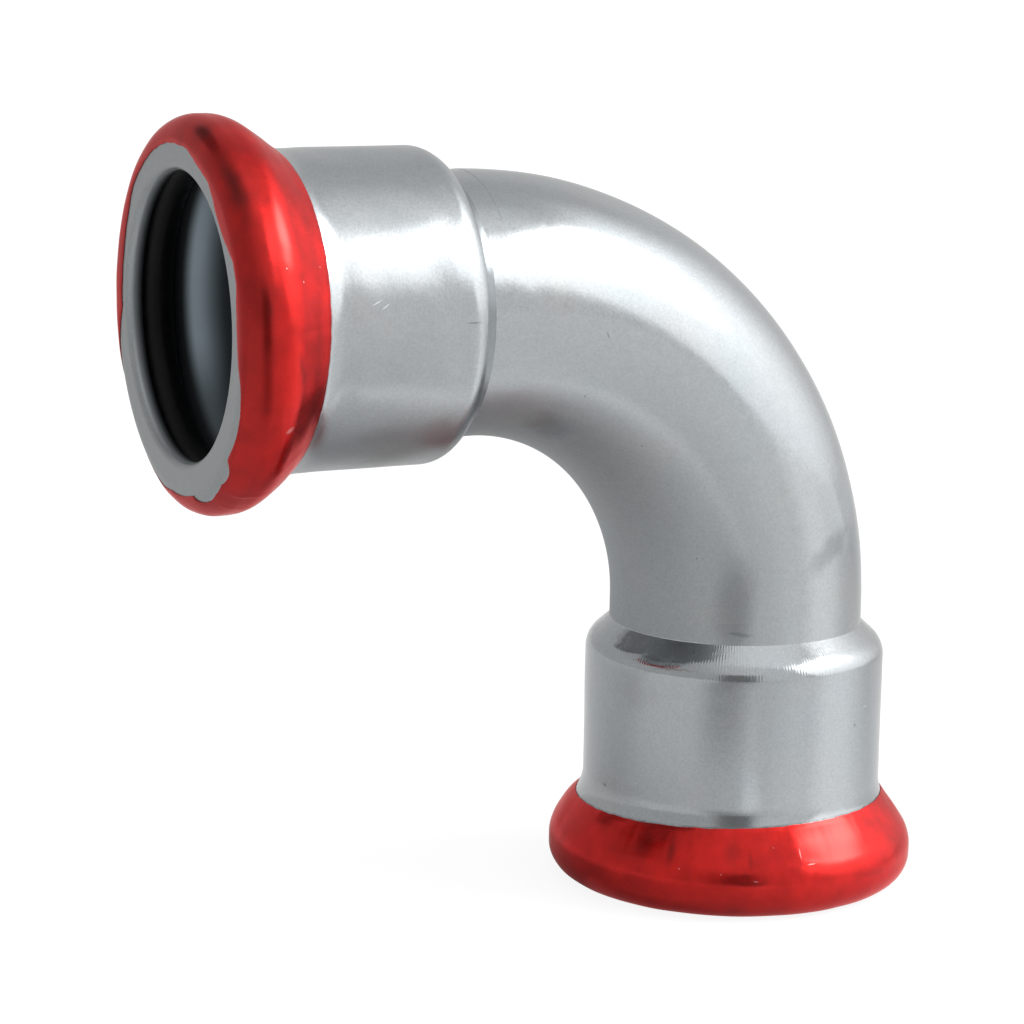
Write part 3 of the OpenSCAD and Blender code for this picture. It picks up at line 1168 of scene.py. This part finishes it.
# patches: azimuth and elevation of the middle, inner and outer angle, level outside and inside
room = {
    "walls": ((52, 30), 38, 96, 0.68, 1.1),
    "patches": (
        ((45, 70), 6, 30, 1.0, 1.3),
        ((122, 56), 8, 32, 1.0, 0.82),
        ((-112, 52), 10, 38, 1.0, 0.88),
        ((-152, 43), 11, 15, 1.0, 0.4),
    ),
    "panelLean": (0.0, 0.45, 0.0, 0.27),
    "panelLeft": (37, 43, 0.0, 1.0),
    "panelRight": (70, 124, 1.0, 0.0),
    "panelTop": (45, 58, 1.0, 0.0),
    "panelLevel": (0, 34, 1.8, 3.1),
    "panelHeart": ((62, 40), 5, 19, 0.0, 10.0),
}
white = (1, 1, 1, 1)


def azimuthOf(tree, x, y):
    # 0 is the front, 90 degrees the right
    return sums(tree, "ARCTAN2", x, times(tree, y, -1.0))


def mixOut(tree, share, first, second):
    mix = addNode(tree, "ShaderNodeMixShader", {0: share, 1: first.outputs[0], 2: second.outputs[0]})
    tree.links.new(mix.outputs[0], tree.nodes["Material Output"].inputs["Surface"])


def makeFloor():
    deselectAll()
    bpy.ops.mesh.primitive_plane_add(size=paper["size"], location=(0, 0, cadBox[0][2]))
    floor = bpy.context.object
    floor.name = "studioFloor"
    applyTransform()
    material, tree, shader = newMaterial("paleFloor")
    tree.nodes.remove(shader)
    matt = addNode(tree, "ShaderNodeBsdfDiffuse", {"Color": paper["white"]})
    # seen in the metal, the paper's glow is painted light: bright on the lamp's side, with painted
    # shadow behind and under the part and by the stand, and a painted bright strip in front of it
    axes = apart(tree, millimetres(tree))
    x, y = axes[0], axes[1]
    across = plus(tree, x, paper["middle"])
    azimuth = azimuthOf(tree, across, y)
    far = rootOfSquares(tree, across, y)
    lit = plus(tree, turnRamp(tree, azimuth, *paper["litFirst"]),
               turnRamp(tree, azimuth, *paper["litMore"]))
    ending = most(tree, turnRamp(tree, azimuth, *paper["litEnd"]), ramp(tree, far, *paper["litFar"]))
    lit = times(tree, lit, ending, turnRamp(tree, azimuth, *paper["litLast"]))
    level = ramp(tree, lit, *paper["mirrorLevel"], smooth=False)
    level = times(tree, level, ramp(tree, y, *paper["back"]), ramp(tree, far, *paper["under"]))
    offStrip = sums(tree, "ABSOLUTE", minus(tree, x, times(tree, y, paper["stripLean"])))
    strip = ramp(tree, offStrip, *paper["stripSide"])
    for stretch in paper["stripAlong"]:
        strip = times(tree, strip, ramp(tree, y, *stretch))
    level = times(tree, level, ramp(tree, strip, *paper["stripLevel"], smooth=False))
    offStand = sums(tree, "ABSOLUTE", plus(tree, azimuth, math.radians(paper["standTurn"])))
    shaded = times(tree, turnRamp(tree, offStand, *paper["standSide"]),
                   ramp(tree, far, *paper["standFar"]))
    level = times(tree, level, minus(tree, 1.0, shaded))
    path = addNode(tree, "ShaderNodeLightPath").outputs
    mirrored = most(tree, path["Is Glossy Ray"], path["Is Transmission Ray"])
    level = toward(tree, paper["seen"], level, mirrored)
    glow = addNode(tree, "ShaderNodeEmission", {"Color": white, "Strength": level})
    share = most(tree, times(tree, path["Is Camera Ray"], paper["seenShare"]),
                 times(tree, mirrored, paper["mirrorShare"]))
    mixOut(tree, share, matt, glow)
    floor.data.materials.append(material)


def makeCard():
    # the dark stand behind the camera, which only shows in the metal
    place = Vector(view["place"]) * mm
    back = Vector((place.x + stand["aside"] * mm, place.y, 0)) * stand["behind"]
    middleZ = cadBox[0][2] + stand["height"] * mm * 0.5
    deselectAll()
    bpy.ops.mesh.primitive_plane_add(size=1.0, location=(back.x, back.y, middleZ))
    card = bpy.context.object
    card.name = "darkCard"
    card.scale = (stand["width"] * mm, stand["height"] * mm, 1)
    card.rotation_euler = (math.radians(90), 0, math.atan2(-back.x, back.y) + math.pi)
    bpy.ops.object.transform_apply(location=False, rotation=False, scale=True)
    card.visible_camera = False
    card.visible_diffuse = False
    card.visible_shadow = False
    material, tree, shader = newMaterial("darkStand")
    tree.nodes.remove(shader)
    axes = apart(tree, millimetres(tree))
    wide = sums(tree, "ABSOLUTE", sums(tree, "DIVIDE", axes[0], stand["width"] * 0.5))
    tall = sums(tree, "DIVIDE", axes[1], stand["height"] * 0.5)
    soft = times(tree, ramp(tree, wide, *stand["softSides"]), ramp(tree, tall, *stand["softTop"]))
    clear = addNode(tree, "ShaderNodeBsdfTransparent")
    dim = addNode(tree, "ShaderNodeEmission", {"Color": white, "Strength": stand["darkReflection"]})
    mixOut(tree, soft, clear, dim)
    card.data.materials.append(material)


def wayTo(azimuth, elevation):
    a, e = math.radians(azimuth), math.radians(elevation)
    return Vector((math.sin(a) * math.cos(e), -math.cos(a) * math.cos(e), math.sin(e)))


def makeWorld():
    # a room with a big soft panel at the right, pale walls and a dim ceiling at the left
    world = bpy.data.worlds.new("studioWorld")
    world.use_nodes = True
    tree = world.node_tree
    sight = addNode(tree, "ShaderNodeTexCoord").outputs["Generated"]
    x, y, z = apart(tree, sight)
    azimuth = azimuthOf(tree, x, y)
    elevation = sums(tree, "ARCSINE", z)

    def patch(middle, inner, outer, low, high):
        facing = addNode(tree, "ShaderNodeVectorMath", {0: sight, 1: wayTo(*middle)},
                         operation="DOT_PRODUCT")
        start, stop = math.cos(math.radians(outer)), math.cos(math.radians(inner))
        return ramp(tree, facing.outputs["Value"], start, stop, low, high)

    level = times(tree, patch(*room["walls"]), *[patch(*spot) for spot in room["patches"]])
    leaning = plus(tree, azimuth, ramp(tree, elevation, *room["panelLean"], smooth=False))
    panel = times(tree, turnRamp(tree, leaning, *room["panelLeft"]),
                  turnRamp(tree, azimuth, *room["panelRight"]),
                  turnRamp(tree, elevation, *room["panelTop"]))
    bright = turnRamp(tree, elevation, *room["panelLevel"], smooth=False)
    bright = plus(tree, bright, patch(*room["panelHeart"]))
    level = toward(tree, level, bright, panel)
    setInputs(tree.nodes["Background"], {"Color": white, "Strength": level})
    bpy.context.scene.world = world


def makeCamera():
    data = bpy.data.cameras.new("photoCamera")
    data.lens = view["lens"]
    data.sensor_width = view["sensor"]
    data.clip_start = view["clipStart"]
    camera = bpy.data.objects.new("photoCamera", data)
    bpy.context.scene.collection.objects.link(camera)
    place = Vector(view["place"]) * mm
    aim = Vector(view["aim"]) * mm
    look = (aim - place).to_track_quat("-Z", "Y")
    camera.location = place
    camera.rotation_euler = (look @ Quaternion((0, 0, 1), math.radians(view["roll"]))).to_euler()
    bpy.context.scene.camera = camera


makeFloor()
makeCard()
makeWorld()
makeCamera()
bpy.context.scene.view_settings.view_transform = "Standard"
print("studio done")

bpy.context.view_layer.update()
